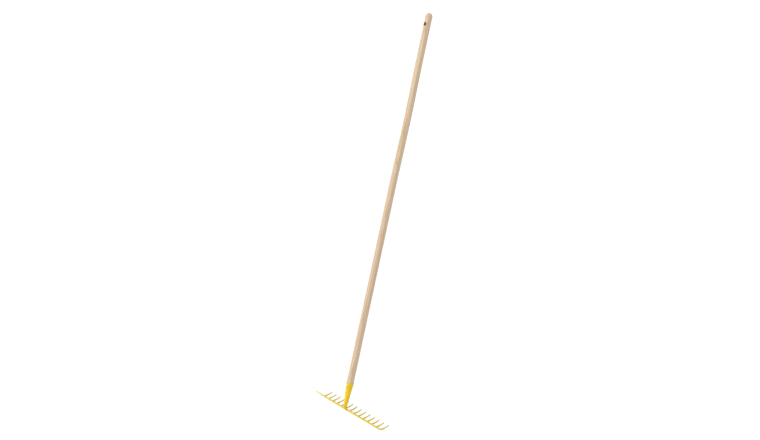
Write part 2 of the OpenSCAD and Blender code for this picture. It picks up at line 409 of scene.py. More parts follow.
def tine_arc(root, tip):
    """The arc of a tine's lower or upper face: its height at each distance forward, and its last angle."""
    chord = tip - root
    turn = math.atan2(chord.y, chord.x) - root_angle
    radius = chord.length / (2 * math.sin(turn))
    centre = root + radius * Vector((-math.sin(root_angle), math.cos(root_angle)))
    return (lambda y: centre.y - math.sqrt(radius ** 2 - (y - centre.x) ** 2)), 2 * turn + root_angle


low_tip = Vector((tip_y, tip_rise))
low_face, tip_angle = tine_arc(Vector((bar_front, 0)), low_tip)
high_tip = low_tip + tip_height * Vector((-math.sin(tip_angle), math.cos(tip_angle)))
high_face = tine_arc(Vector((bar_front, tine_height)), high_tip)[0]


def tine_heights(y):
    """Heights of the lower and upper face above the bar's underside, eased into the level bar."""
    if y <= bar_front - 3 * mm:
        return 0.0, tine_height
    share = min(1.0, (y - bar_front + 3 * mm) / (9 * mm))
    ease_in = share * share * (3 - 2 * share)
    y = min(max(y, bar_front), high_tip.x)
    return low_face(y) * ease_in, tine_height + (high_face(y) - tine_height) * ease_in


bar_rings = []
for step in range(151):
    x = bar_low.x + (bend_x - bar_low.x) * step / 150
    drawn = max(0.0, (point_start - x) / (point_start - bar_low.x))
    drawn = drawn ** 1.15
    swell = min(1.0, max(0.0, (abs(x) - swell_half) / (abs(point_start) - swell_half)))
    back = middle_back + (bar_front - tine_width - middle_back) * swell
    top = middle_height + (tine_height - middle_height) * swell
    half_depth = (bar_front - back) / 2 * (1 - drawn) + point_half * drawn
    half_height = top / 2 * (1 - drawn) + point_half * drawn
    line = (bar_front - half_depth) * (1 - drawn) + bar_line * drawn
    level = top / 2 * (1 - drawn) + tine_height / 2 * drawn
    nose = min(1.0, 0.45 + (x - bar_low.x) / (2.2 * mm))
    centre = Vector((x, line, underside + level))
    bar_rings.append(rounded_ring(
        centre, Vector((0, -half_depth * nose, 0)), Vector((0, 0, half_height * nose)), 1.1 * mm))
bend_centre = Vector((bend_x, bar_line + bend_radius, 0))
for step in range(1, 25):
    angle = math.pi / 2 * step / 24
    across = Vector((math.sin(angle), -math.cos(angle), 0))
    flat = bend_centre + across * bend_radius
    below, above = tine_heights(flat.y)
    centre = Vector((flat.x, flat.y, underside + (below + above) / 2))
    bar_rings.append(rounded_ring(
        centre, across * (tine_width / 2), Vector((0, 0, (above - below) / 2)), 1.1 * mm))
tine_start = bar_line + bend_radius
for step in range(1, 61):
    y = tine_start + (tip_y - tine_start) * step / 60
    below, above = tine_heights(y)
    slope = (tine_heights(y + 0.2 * mm)[0] - tine_heights(y - 0.2 * mm)[0]) / (0.4 * mm)
    slope = min(slope, math.tan(tip_angle))
    share = (y - bar_front) / (tip_y - bar_front)
    rounding = math.sqrt(max(0.10, 1 - max(0.0, 1 - (tip_y - y) / (1.9 * mm)) ** 2))
    half_height = (tine_height + (tip_height - tine_height) * share) / 2 * rounding
    half_width = (tine_width + (tip_width - tine_width) * share) / 2 * rounding
    up = Vector((0, -slope, 1)).normalized()
    centre = Vector((end_tine_x, y, underside + (below + above) / 2))
    bar_rings.append(rounded_ring(centre, Vector((half_width, 0, 0)), up * half_height, 1.0 * mm))
rake_bar = skin("rake_bar", bar_rings)
hammer(rake_bar, 9 * mm, 0.13 * mm)
fit(rake_bar, paint, "paint", "rake_bar")


# TINES
# Thirteen short steel bars are drawn thinner, curved upwards and cut blunt, then butted against the front
# of the rake bar one spacing apart and welded. Hand work leaves each with a slightly different set.
tine_tree, given, result = new_group(
    "curved_tine", "GeometryNodeTree",
    [("Root", "Vector", None), ("Tip", "Vector", None), ("Root Pull", "Vector", None),
     ("Tip Pull", "Vector", None), ("Width", "Float", 4.6 * mm), ("Height", "Float", 5.5 * mm),
     ("Corner", "Float", 1.0 * mm), ("Tip Share", "Float", 0.67), ("Blunt Length", "Float", 1.9 * mm),
     ("Set", "Float", 0.4 * mm), ("Unevenness", "Float", 0.1 * mm), ("Seed", "Int", 1),
     ("Finish", "Material", None)],
    [("Tine", "Geometry")])
spine = node(tine_tree, "GeometryNodeCurvePrimitiveBezierSegment", {
    "Resolution": 48, "Start": given.outputs["Root"], "Start Handle": given.outputs["Root Pull"],
    "End Handle": given.outputs["Tip Pull"], "End": given.outputs["Tip"]}, mode="OFFSET").outputs[0]
spine = node(tine_tree, "GeometryNodeResampleCurve", {"Curve": spine, "Count": 84}).outputs[0]
along = node(tine_tree, "GeometryNodeSplineParameter")
one_draw = node(tine_tree, "FunctionNodeInputInt", integer=0).outputs[0]
stray = node(tine_tree, "FunctionNodeRandomValue", {
    "Min": (-1.0, 0.0, -1.0), "Max": (1.0, 0.0, 1.0), "ID": one_draw, "Seed": given.outputs["Seed"]},
    data_type="FLOAT_VECTOR").outputs["Value"]
stray_size = calc(tine_tree, "MULTIPLY", calc(tine_tree, "POWER", along.outputs["Factor"], 2.0),
                  given.outputs["Set"])
stray = node(tine_tree, "ShaderNodeVectorMath", {0: stray, "Scale": stray_size},
             operation="SCALE").outputs[0]
spine = node(tine_tree, "GeometryNodeSetPosition", {"Geometry": spine, "Offset": stray}).outputs[0]
spine = node(tine_tree, "GeometryNodeSetCurveNormal", {"Curve": spine}, mode="Z_UP").outputs[0]
whole = node(tine_tree, "GeometryNodeSplineLength").outputs["Length"]
to_tip = calc(tine_tree, "SUBTRACT", whole, along.outputs["Length"])
nose = calc(tine_tree, "DIVIDE", to_tip, given.outputs["Blunt Length"])
nose = calc(tine_tree, "MAXIMUM", calc(tine_tree, "SUBTRACT", 1.0, nose), 0.0)
nose = calc(tine_tree, "SUBTRACT", 1.0, calc(tine_tree, "POWER", nose, 2.0))
nose = calc(tine_tree, "SQRT", calc(tine_tree, "MAXIMUM", nose, 0.10))
taper = node(tine_tree, "ShaderNodeMapRange", {
    "Value": along.outputs["Factor"], "To Min": 1.0,
    "To Max": given.outputs["Tip Share"]}).outputs["Result"]
section = node(tine_tree, "GeometryNodeCurvePrimitiveQuadrilateral", {
    "Width": given.outputs["Width"], "Height": given.outputs["Height"]}).outputs[0]
section = node(tine_tree, "GeometryNodeFilletCurve", {
    "Curve": section, "Count": 5, "Radius": given.outputs["Corner"], "Limit Radius": True},
    mode="POLY").outputs[0]
solid = node(tine_tree, "GeometryNodeCurveToMesh", {
    "Curve": spine, "Profile Curve": section, "Scale": calc(tine_tree, "MULTIPLY", taper, nose),
    "Fill Caps": True}).outputs[0]
where = node(tine_tree, "GeometryNodeInputPosition").outputs[0]
shift = calc(tine_tree, "MULTIPLY", given.outputs["Seed"], 0.37)
shift = node(tine_tree, "ShaderNodeCombineXYZ", {"X": shift})
where = calc_vector(tine_tree, "ADD", where, shift.outputs[0])
rough = node(tine_tree, "ShaderNodeTexNoise", {"Vector": where, "Scale": 150.0, "Detail": 1.0})
rough = calc_vector(tine_tree, "SUBTRACT", rough.outputs["Color"], (0.5, 0.5, 0.5))
rough = node(tine_tree, "ShaderNodeVectorMath", {0: rough, "Scale": given.outputs["Unevenness"]},
             operation="SCALE").outputs[0]
solid = node(tine_tree, "GeometryNodeSetPosition", {"Geometry": solid, "Offset": rough}).outputs[0]
solid = node(tine_tree, "GeometryNodeRealizeInstances", {"Geometry": solid}).outputs[0]
solid = node(tine_tree, "GeometryNodeSetMaterial", {
    "Geometry": solid, "Material": given.outputs["Finish"]}).outputs[0]
tine_tree.links.new(solid, result.inputs["Tine"])


def grow(name, tree, base, values):
    """Runs a geometry tree with its inputs set, and returns what it makes as a plain mesh piece."""
    worker = bpy.data.objects.new(name + "_worker", base)
    modifier = worker.modifiers.new("tree", "NODES")
    modifier.node_group = tree
    named = {item.name: item.identifier for item in tree.interface.items_tree if item.in_out == "INPUT"}
    for label, value in values.items():
        modifier[named[label]] = value
    bpy.context.scene.collection.objects.link(worker)
    seen = bpy.context.evaluated_depsgraph_get()
    mesh = bpy.data.meshes.new_from_object(worker.evaluated_get(seen), depsgraph=seen)
    mesh.name = name
    bpy.data.objects.remove(worker)
    shape = bmesh.new()
    shape.from_mesh(mesh)
    bmesh.ops.remove_doubles(shape, verts=shape.verts, dist=0.002 * mm)
    bmesh.ops.recalc_face_normals(shape, faces=shape.faces)
    shape.to_mesh(mesh)
    shape.free()
    piece = bpy.data.objects.new(name, mesh)
    bpy.context.scene.collection.objects.link(piece)
    return piece


tip_centre_y = tip_y - tip_height / 2 * math.sin(tip_angle)
tip_centre_z = tip_rise + tip_height / 2 * math.cos(tip_angle)
sunk = 0.7 * mm
for position in range(2, 15):
    name = "tine_%02d" % position
    low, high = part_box(name)
    x = (low.x + high.x) / 2
    root = Vector((x, bar_front - sunk, underside + tine_height / 2))
    tip = Vector((x, tip_centre_y, underside + tip_centre_z))
    pull = (tip - root).length / 3
    tine = grow(name, tine_tree, bpy.data.meshes.new("empty"), {
        "Root": root,
        "Tip": tip,
        "Root Pull": Vector((0, pull * math.cos(root_angle), pull * math.sin(root_angle))),
        "Tip Pull": Vector((0, -pull * math.cos(tip_angle), -pull * math.sin(tip_angle))),
        "Width": tine_width,
        "Height": tine_height * math.cos(root_angle),
        "Corner": 1.0 * mm,
        "Tip Share": 0.67,
        "Blunt Length": 1.9 * mm,
        "Set": 0.35 * mm,
        "Unevenness": 0.18 * mm,
        "Seed": position,
        "Finish": paint,
    })
    fit(tine, paint, "paint", name)


# WELDS
# Short beads of arc weld in the corners: down both sides of each tine's root, round the foot of the socket,
# up its seam, and down both sides of the neck. Each is a row of small overlapping ripples.
weld_tree, given, result = new_group(
    "weld_bead", "GeometryNodeTree",
    [("Lines", "Geometry", None), ("Bead Radius", "Float", 1.5 * mm), ("Ripple", "Float", 1.4 * mm),
     ("Ripple Depth", "Float", 0.15 * mm), ("Crown", "Vector", None), ("Round Ends", "Float", 1.0),
     ("Unevenness", "Float", 0.2 * mm), ("Step", "Float", 0.2 * mm), ("Seed", "Int", 1),
     ("Finish", "Material", None)],
    [("Beads", "Geometry")])
line = node(weld_tree, "GeometryNodeMeshToCurve", {"Mesh": given.outputs["Lines"]}).outputs[0]
line = node(weld_tree, "GeometryNodeResampleCurve", {"Curve": line, "Length": given.outputs["Step"]},
            mode="LENGTH").outputs[0]
along = node(weld_tree, "GeometryNodeSplineParameter").outputs["Length"]
whole = node(weld_tree, "GeometryNodeSplineLength").outputs["Length"]
line = node(weld_tree, "GeometryNodeStoreNamedAttribute", {
    "Geometry": line, "Name": "run", "Value": along}, data_type="FLOAT", domain="POINT").outputs[0]
to_end = calc(weld_tree, "MINIMUM", along, calc(weld_tree, "SUBTRACT", whole, along))
cap = calc(weld_tree, "SUBTRACT", 1.0, calc(weld_tree, "DIVIDE", to_end, given.outputs["Bead Radius"]))
cap = calc(weld_tree, "POWER", calc(weld_tree, "MAXIMUM", cap, 0.0), 2.0)
cap = calc(weld_tree, "SQRT", calc(weld_tree, "MAXIMUM", calc(weld_tree, "SUBTRACT", 1.0, cap), 0.05))
cap = node(weld_tree, "ShaderNodeMix", {0: given.outputs["Round Ends"], 2: 1.0, 3: cap}).outputs[0]
hoop = node(weld_tree, "GeometryNodeCurvePrimitiveCircle", {"Resolution": 18, "Radius": 1.0}).outputs[0]
bead = node(weld_tree, "GeometryNodeCurveToMesh", {
    "Curve": line, "Profile Curve": hoop, "Fill Caps": True,
    "Scale": calc(weld_tree, "MULTIPLY", cap, given.outputs["Bead Radius"])}).outputs[0]
facing = node(weld_tree, "GeometryNodeInputNormal").outputs["Normal"]
crown = node(weld_tree, "ShaderNodeVectorMath", {0: facing, 1: given.outputs["Crown"]},
             operation="DOT_PRODUCT").outputs["Value"]
curl = calc(weld_tree, "MULTIPLY", calc(weld_tree, "SUBTRACT", 1.0, crown), 0.9)
run = node(weld_tree, "GeometryNodeInputNamedAttribute", {"Name": "run"}, data_type="FLOAT").outputs[0]
phase = calc(weld_tree, "ADD", calc(weld_tree, "DIVIDE", run, given.outputs["Ripple"]), curl)
ridge = calc(weld_tree, "SINE", calc(weld_tree, "MULTIPLY", phase, math.pi))
ridge = calc(weld_tree, "SUBTRACT", calc(weld_tree, "ABSOLUTE", ridge), 1.0)
ridge = calc(weld_tree, "MULTIPLY", ridge, given.outputs["Ripple Depth"])
where = node(weld_tree, "GeometryNodeInputPosition").outputs[0]
shift = calc(weld_tree, "MULTIPLY", given.outputs["Seed"], 0.53)
shift = node(weld_tree, "ShaderNodeCombineXYZ", {"Z": shift})
where = calc_vector(weld_tree, "ADD", where, shift.outputs[0])
lump = node(weld_tree, "ShaderNodeTexNoise", {
    "Vector": where, "Scale": 420.0, "Detail": 1.0}).outputs["Fac"]
lump = calc(weld_tree, "MULTIPLY", calc(weld_tree, "SUBTRACT", lump, 0.5), given.outputs["Unevenness"])
lift = node(weld_tree, "ShaderNodeVectorMath", {0: facing, "Scale": calc(weld_tree, "ADD", ridge, lump)},
            operation="SCALE").outputs[0]
bead = node(weld_tree, "GeometryNodeSetPosition", {"Geometry": bead, "Offset": lift}).outputs[0]
bead = node(weld_tree, "GeometryNodeRealizeInstances", {"Geometry": bead}).outputs[0]
bead = node(weld_tree, "GeometryNodeSetMaterial", {
    "Geometry": bead, "Material": given.outputs["Finish"]}).outputs[0]
weld_tree.links.new(bead, result.inputs["Beads"])


def weld(name, lines, values, looped=False):
    """Lays beads along the given lines and puts them in the place of the CAD weld of that name."""
    points = [point for line in lines for point in line]
    joins = []
    start = 0
    for line in lines:
        joins += [(start + i, start + i + 1) for i in range(len(line) - 1)]
        if looped:
            joins.append((start + len(line) - 1, start))
        start += len(line)
    base = bpy.data.meshes.new(name + "_lines")
    base.from_pydata(points, joins, [])
    beads = grow(name, weld_tree, base, {"Finish": paint, **values})
    fit(beads, paint, "paint", name)


root_lines = []
for position in range(2, 15):
    low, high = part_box("tine_%02d" % position)
    for side, x in ((-1, low.x), (1, high.x)):
        edge_x = x - side * 0.1 * mm
        root_lines.append([
            Vector((edge_x, bar_front - 0.1 * mm, underside + height * mm))
            for height in (0.9, 2.6, 4.4)])
weld("tine_welds", root_lines, {
    "Bead Radius": 1.35 * mm, "Ripple": 1.1 * mm, "Ripple Depth": 0.12 * mm, "Crown": Vector((0, 1, 0)),
    "Round Ends": 1.0, "Unevenness": 0.55 * mm, "Step": 0.25 * mm, "Seed": 3})

# NECK
# A forged tang that joins the socket to the bar. It is a round plug inside the socket, a collar under it,
# and a foot flattened out sideways and turned forward to butt against the thick middle of the bar.
neck_low, neck_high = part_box("neck")
socket_low, socket_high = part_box("socket")
collar_radius = 7.9 * mm
plug_radius = 5.4 * mm
foot_half = (neck_high.x - neck_low.x) / 2
foot_top = underside + 6.0 * mm
foot_bottom = neck_low.z
foot_y = middle_back + 0.6 * mm
collar_top = socket_low.z


def round_ring(radius, z, count=48):
    """Points round a level circle on the handle's line."""
    ring = []
    for i in range(count):
        angle = 2 * math.pi * i / count
        ring.append(Vector((radius * math.cos(angle), radius * math.sin(angle), z)))
    return ring


neck_rings = [
    round_ring(plug_radius * 0.86, neck_high.z),
    round_ring(plug_radius, neck_high.z - 0.8 * mm),
    round_ring(plug_radius, collar_top + 0.3 * mm),
    round_ring(collar_radius - 0.35 * mm, collar_top),
    round_ring(collar_radius - 0.1 * mm, collar_top - 0.12 * mm)]
inner_start = Vector((0, collar_radius, collar_top - 0.4 * mm))
outer_start = Vector((0, -collar_radius, collar_top - 0.4 * mm))
inner_end = Vector((0, foot_y, foot_top))
outer_end = Vector((0, foot_y, foot_bottom))
outer_pull = Vector((0, -2.2 * mm, underside + 6.2 * mm))
inner_pull = Vector((0, 6.4 * mm, underside + 9.6 * mm))
for step in range(37):
    share = step / 36
    first, middle, last = (1 - share) ** 2, 2 * share * (1 - share), share ** 2
    inner = inner_start * first + inner_pull * middle + inner_end * last
    outer = outer_start * first + outer_pull * middle + outer_end * last
    centre = (inner + outer) / 2
    reach = (inner - outer) / 2
    squareness = 2 + 3.2 * share ** 1.4
    spread = share * share * (3 - 2 * share)
    half_width = collar_radius * (1 - spread) + foot_half * spread
    half_width -= 1.6 * mm * math.sin(math.pi * share) ** 2
    ring = []
    for i in range(48):
        angle = 2 * math.pi * i / 48
        c = math.cos(angle)
        s = math.sin(angle)
        x = math.copysign(abs(c) ** (2 / squareness), c)
        z = math.copysign(abs(s) ** (2 / squareness), s)
        ring.append(centre + Vector((x * half_width, 0, 0)) + reach * z)
    neck_rings.append(ring)
neck = skin("neck", neck_rings)
hammer(neck, 5 * mm, 0.12 * mm)
fit(neck, paint, "paint", "neck")
side_lines = []
for side in (-1, 1):
    side_lines.append([
        Vector((side * (foot_half - 0.2 * mm), middle_back - 0.1 * mm, underside + height * mm))
        for height in (0.9, 3.0, 5.4)])
weld("neck_weld", side_lines, {
    "Bead Radius": 1.4 * mm, "Ripple": 1.3 * mm, "Ripple Depth": 0.14 * mm, "Crown": Vector((0, -1, 0)),
    "Round Ends": 1.0, "Unevenness": 0.5 * mm, "Step": 0.2 * mm, "Seed": 8})

# SOCKET
# Sheet steel 1.5 mm thick, rolled into a cone round a mandrel. Its two edges meet in a seam down the front,
# open at the rim and welded shut over the lower part. The foot is welded to the neck all the way round.
sheet = 1.5 * mm
foot_radius = 7.0 * mm
rim_radius = (socket_high.x - socket_low.x) / 2
socket_height = socket_high.z - socket_low.z
seam_gap = 1.0 * mm
around = 96


def cone_radius(z):
    """Outer radius of the socket at a height."""
    return foot_radius + (rim_radius - foot_radius) * (z - socket_low.z) / socket_height


socket_rings = []
shares = [0, 0.005, 0.015, 0.04] + [0.08 + 0.07 * i for i in range(12)]
shares += [0.89, 0.925, 0.955, 0.975, 0.99, 1]
for up in shares:
    z = socket_low.z + socket_height * up
    height = socket_height * up / mm
    ring = []
    for outer in (True, False):
        for i in range(around + 1):
            share = i / around if outer else 1 - i / around
            radius = cone_radius(z) - (0 if outer else sheet)
            gap = seam_gap / 2 / radius
            angle = math.pi / 2 + gap + share * (2 * math.pi - 2 * gap)
            away = min(share, 1 - share) * 2 * math.pi
            radius -= 0.22 * mm * math.exp(-(away / 0.22) ** 2) * min(1.0, height / 50)
            c = math.cos(angle)
            s = math.sin(angle)
            radius += 0.07 * mm * noise.noise(Vector((3 * c, 3 * s, height / 16)))
            top = 0.16 * mm * noise.noise(Vector((c, s, 7.0)))
            lift = (top - 0.06 * mm) * max(0.0, 4 * up - 3)
            ring.append(Vector((radius * c, radius * s, z + lift)))
    socket_rings.append(ring)
socket = skin("socket", socket_rings)
softening = socket.modifiers.new("soft_edges", "BEVEL")
softening.width = 0.38 * mm
softening.segments = 3
softening.limit_method = "ANGLE"
softening.angle_limit = math.radians(50)


def settle(piece):
    """Turns a piece with modifiers into its plain finished mesh."""
    seen = bpy.context.evaluated_depsgraph_get()
    mesh = bpy.data.meshes.new_from_object(piece.evaluated_get(seen), depsgraph=seen)
    mesh.name = piece.name
    piece.modifiers.clear()
    piece.data = mesh


settle(socket)
fit(socket, paint, "paint", "socket")

foot_line = round_ring(foot_radius + 0.15 * mm, socket_low.z + 0.35 * mm, 96)
weld("socket_weld", [foot_line], {
    "Bead Radius": 0.95 * mm, "Ripple": 1.5 * mm, "Ripple Depth": 0.11 * mm, "Crown": Vector((0, 0, 1)),
    "Round Ends": 0.0, "Unevenness": 0.4 * mm, "Step": 0.22 * mm, "Seed": 5}, looped=True)

seam_low, seam_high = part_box("seam_weld")
seam_line = []
for step in range(25):
    z = seam_low.z + 0.6 * mm + (seam_high.z - seam_low.z - 1.2 * mm) * step / 24
    seam_line.append(Vector((0.12 * mm * math.sin(step * 1.7), cone_radius(z) - 0.95 * mm, z)))
weld("seam_weld", [seam_line], {
    "Bead Radius": 1.5 * mm, "Ripple": 1.55 * mm, "Ripple Depth": 0.16 * mm, "Crown": Vector((0, 1, 0)),
    "Round Ends": 1.0, "Unevenness": 0.22 * mm, "Step": 0.22 * mm, "Seed": 11})

# HANDLE
# One length of ash, turned to 28 mm, with a domed top, a hole drilled through to hang it by, and its lower
# end tapered to drive into the socket. It is sanded and oiled, and the stick has bowed slightly in drying.
handle_low, handle_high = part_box("handle")
handle_radius = (handle_high.x - handle_low.x) / 2
dome_height = 11.0 * mm
dome_radius = (handle_radius ** 2 + dome_height ** 2) / (2 * dome_height)
hang_hole = frame["record"]["mounts"][0]
hole_radius = hang_hole["dims"]["r_mm"] * mm
rim_z = socket_high.z
bow = 2.2 * mm
bow_way = Vector((level_right.x, level_right.y, 0))


def handle_line(z):
    """Where the middle of the stick is at a height."""
    share = min(1.0, max(0.0, (-0.11 - z) / 0.53))
    return bow_way * (bow * math.sin(math.pi * share) ** 2)


profile = []
for step in range(19):
    angle = math.asin(handle_radius / dome_radius) * (step + 0.35) / 18.35
    profile.append((handle_high.z - dome_radius * (1 - math.cos(angle)), dome_radius * math.sin(angle)))
edge_z = profile[-1][0]
level = edge_z - 1.0 * mm
while level > -12 * mm:
    profile.append((level, handle_radius))
    level -= 1.0 * mm
while level > rim_z + 20 * mm:
    profile.append((level, handle_radius))
    level -= 9 * mm
for above in (18, 12, 7, 4, 2.4, 1.7):
    profile.append((rim_z + above * mm, handle_radius))
profile.append((rim_z + 1.2 * mm, handle_radius - 0.03 * mm))
profile.append((rim_z + 0.6 * mm, handle_radius - 0.08 * mm))
profile.append((rim_z + 0.1 * mm, handle_radius - 0.17 * mm))
for below in (1, 6, 20, 40, 60, 80):
    profile.append((rim_z - below * mm, cone_radius(rim_z - below * mm) - sheet - 0.12 * mm))
profile.append((handle_low.z + 0.6 * mm, cone_radius(handle_low.z) - sheet - 0.4 * mm))
profile.append((handle_low.z, cone_radius(handle_low.z) - sheet - 1.2 * mm))
stick_rings = []
for z, radius in profile:
    ring = []
    middle = handle_line(z)
    for i in range(72):
        angle = 2 * math.pi * i / 72
        c = math.cos(angle)
        s = math.sin(angle)
        wander = noise.noise(Vector((c * 1.2, s * 1.2, z * 14))) * 0.16 * mm
        wander += noise.noise(Vector((c * 4, s * 4, z * 60 + 9))) * 0.04 * mm
        loose = 1.0 if z > rim_z + 1 * mm else 0.2
        reach = radius + (wander - 0.05 * mm) * loose * min(1.0, radius / (8 * mm))
        ring.append(Vector((reach * c, reach * s, z)) + middle)
    stick_rings.append(ring)
handle = skin("handle", stick_rings)

# The drill's two mouths widen smoothly, so the hole is left without a sharp edge
drill_reach = 17
mouth = 12.0
drill_rings = []
for depth in range(-drill_reach, drill_reach + 1):
    over = abs(depth) - mouth
    flare = 0.26 * mm * (over + math.sqrt(over ** 2 + 0.25))
    ring = []
    for i in range(56):
        angle = 2 * math.pi * i / 56
        c = math.cos(angle)
        s = math.sin(angle)
        radius = hole_radius + flare + 0.05 * mm * noise.noise(Vector((c, s, depth)))
        ring.append(Vector((radius * c, depth * mm, radius * s)))
    drill_rings.append(ring)
drill = skin("drill", drill_rings)
drilling = handle.modifiers.new("hang_hole", "BOOLEAN")
drilling.operation = "DIFFERENCE"
drilling.solver = "EXACT"
drilling.object = drill
settle(handle)
bpy.data.objects.remove(drill)

# Growth rings about a pith outside the stick, long fibres, and the open pores of the spring wood
grain, given, result = new_group(
    "ash_grain", "ShaderNodeTree",
    [("Place", "Vector", None), ("Pith", "Vector", None), ("Ring Width", "Float", 2.3),
     ("Runout", "Float", 0.011), ("Wander", "Float", 7.0)],
    [("Spring Wood", "Float"), ("Fibre", "Float"), ("Pore", "Float"), ("Streak", "Float")])
here = given.outputs["Place"]
slow = calc_vector(grain, "MULTIPLY", here, (0.016, 0.016, 0.0036))
drift = node(grain, "ShaderNodeTexNoise", {
    "Vector": slow, "Scale": 1.0, "Detail": 2.0}).outputs["Color"]
drift = calc_vector(grain, "SUBTRACT", drift, (0.5, 0.5, 0.5))
drift = node(grain, "ShaderNodeVectorMath", {0: drift, "Scale": given.outputs["Wander"]},
             operation="SCALE").outputs[0]
bent = calc_vector(grain, "SUBTRACT", calc_vector(grain, "ADD", here, drift), given.outputs["Pith"])
parts = node(grain, "ShaderNodeSeparateXYZ", {0: bent})
flat = node(grain, "ShaderNodeCombineXYZ", {
    "X": parts.outputs["X"], "Y": parts.outputs["Y"]}).outputs[0]
away = node(grain, "ShaderNodeVectorMath", {0: flat}, operation="LENGTH").outputs["Value"]
away = calc(grain, "ADD", away, calc(grain, "MULTIPLY", parts.outputs["Z"], given.outputs["Runout"]))
years = calc(grain, "DIVIDE", away, given.outputs["Ring Width"])
good_years = node(grain, "ShaderNodeTexNoise", {"W": years, "Scale": 0.45, "Detail": 1.0},
                  noise_dimensions="1D").outputs["Fac"]
years = calc(grain, "ADD", years, calc(grain, "MULTIPLY", good_years, 1.6))
season = calc(grain, "FRACT", years)
spring = ease(grain, season, 0.0, 0.07)
spring = calc(grain, "MULTIPLY", spring, ease(grain, season, 0.26, 0.62, 1.0, 0.0))
fibre_place = calc_vector(grain, "MULTIPLY", here, (3.0, 3.0, 0.034))
fibre = cloud(grain, fibre_place, 1.0, 3.0, 0.6)
pore_place = calc_vector(grain, "MULTIPLY", here, (4.6, 4.6, 0.20))
pore = ease(grain, cloud(grain, pore_place, 1.0, 1.0), 0.60, 0.70)
pore = calc(grain, "MULTIPLY", pore, ease(grain, spring, 0.1, 0.6, 0.12, 1.0))
streak_place = calc_vector(grain, "MULTIPLY", here, (0.15, 0.15, 0.0034))
streak = cloud(grain, streak_place, 1.0, 3.0, 0.55)
grain.links.new(spring, result.inputs["Spring Wood"])
grain.links.new(fibre, result.inputs["Fibre"])
grain.links.new(pore, result.inputs["Pore"])
grain.links.new(streak, result.inputs["Streak"])

ash, tree, shader, place = finish_of("oiled_ash")
wood = use_group(tree, grain, {"Place": place, "Pith": (31.0, -44.0, 0.0), "Ring Width": 2.4})
edge = node(tree, "ShaderNodeAttribute", attribute_name="edge").outputs["Fac"]
blotch = use_group(tree, mottle, {"Place": calc_vector(tree, "MULTIPLY", place, (1.0, 1.0, 0.25)),
                                  "Patch Size": 34.0, "Fleck Size": 5.0}).outputs["Value"]
colour = tint(tree, wood.outputs["Spring Wood"], (0.70, 0.545, 0.375, 1), (0.52, 0.365, 0.215, 1))
streaks = ease(tree, wood.outputs["Streak"], 0.35, 0.68, 0.0, 0.55)
colour = tint(tree, streaks, colour, (0.50, 0.34, 0.20, 1))
fibres = ease(tree, wood.outputs["Fibre"], 0.3, 0.7, 0.0, 0.30)
colour = tint(tree, fibres, colour, (0.80, 0.66, 0.49, 1))
colour = tint(tree, ease(tree, blotch, 0.0, 1.0, 0.0, 0.22), colour, (0.62, 0.43, 0.29, 1))
colour = tint(tree, calc(tree, "MULTIPLY", wood.outputs["Pore"], 0.62), colour, (0.26, 0.165, 0.085, 1))
# End grain drinks the oil: the dome is greyer. The wall of the hole is darkest, from its darker end grain
# and from painted shade inside the bore.
spot = node(tree, "ShaderNodeSeparateXYZ", {0: place})
from_hole = node(tree, "ShaderNodeCombineXYZ", {
    "X": spot.outputs["X"], "Y": spot.outputs["Z"]}).outputs[0]
from_hole = node(tree, "ShaderNodeVectorMath", {0: from_hole}, operation="LENGTH").outputs["Value"]
hole = hole_radius / mm
in_hole = ease(tree, from_hole, hole + 0.1, hole + 1.1, 1.0, 0.0)
on_dome = ease(tree, spot.outputs["Z"], 36.0, 43.5)
colour = tint(tree, calc(tree, "MULTIPLY", on_dome, 0.55), colour, (0.47, 0.385, 0.30, 1))
# Painted shade: the bore of the hang hole is darkened almost to dark brown, over its darker end grain
colour = tint(tree, calc(tree, "MULTIPLY", in_hole, 0.80), colour, (0.30, 0.185, 0.095, 1))
halo = ease(tree, from_hole, hole + 0.6, hole + 6.0, 1.0, 0.0)
halo = calc(tree, "MULTIPLY", halo, ease(tree, blotch, 0.2, 0.9, 0.1, 0.45))
colour = tint(tree, halo, colour, (0.40, 0.26, 0.14, 1))
tree.links.new(colour, shader.inputs["Base Color"])
sheen = ease(tree, wood.outputs["Fibre"], 0.2, 0.8, 0.60, 0.46)
sheen = calc(tree, "ADD", sheen, calc(tree, "MULTIPLY", wood.outputs["Pore"], 0.2))
sheen = calc(tree, "SUBTRACT", sheen, calc(tree, "MULTIPLY", blotch, 0.07))
tree.links.new(sheen, shader.inputs["Roughness"])
shader.inputs["Specular IOR Level"].default_value = 0.35
relief = calc(tree, "MULTIPLY", wood.outputs["Fibre"], 0.035)
relief = calc(tree, "SUBTRACT", relief, calc(tree, "MULTIPLY", wood.outputs["Pore"], 0.06))
relief = calc(tree, "SUBTRACT", relief, calc(tree, "MULTIPLY", wood.outputs["Spring Wood"], 0.02))
bump = node(tree, "ShaderNodeBump", {"Height": relief, "Distance": 1 * mm, "Strength": 0.9})
tree.links.new(bump.outputs["Normal"], shader.inputs["Normal"])
fit(handle, ash, "ash", "handle")

# SCREWS
# Two zinc-plated pan-head screws with crossed slots, driven through the back of the socket into the stick.
# The plating is passivated pale yellow, and the driver has marked the slots. Painted shade darkens the
# inner corners of the slots.
zinc, tree, shader, place = finish_of("yellow_zinc")
film = use_group(tree, mottle, {"Place": place, "Patch Size": 3.0, "Fleck Size": 0.6}).outputs["Value"]
edge = node(tree, "ShaderNodeAttribute", attribute_name="edge").outputs["Fac"]
crease = node(tree, "ShaderNodeAttribute", attribute_name="crease").outputs["Fac"]
worn = use_group(tree, wear, {"Place": place, "Edge": edge, "Chip Size": 0.5, "Amount": 0.8})
plate = tint(tree, film, (0.88, 0.68, 0.23, 1), (0.94, 0.79, 0.40, 1))
plate = tint(tree, calc(tree, "MULTIPLY", worn.outputs["Rub"], 0.5), plate, (0.93, 0.86, 0.64, 1))
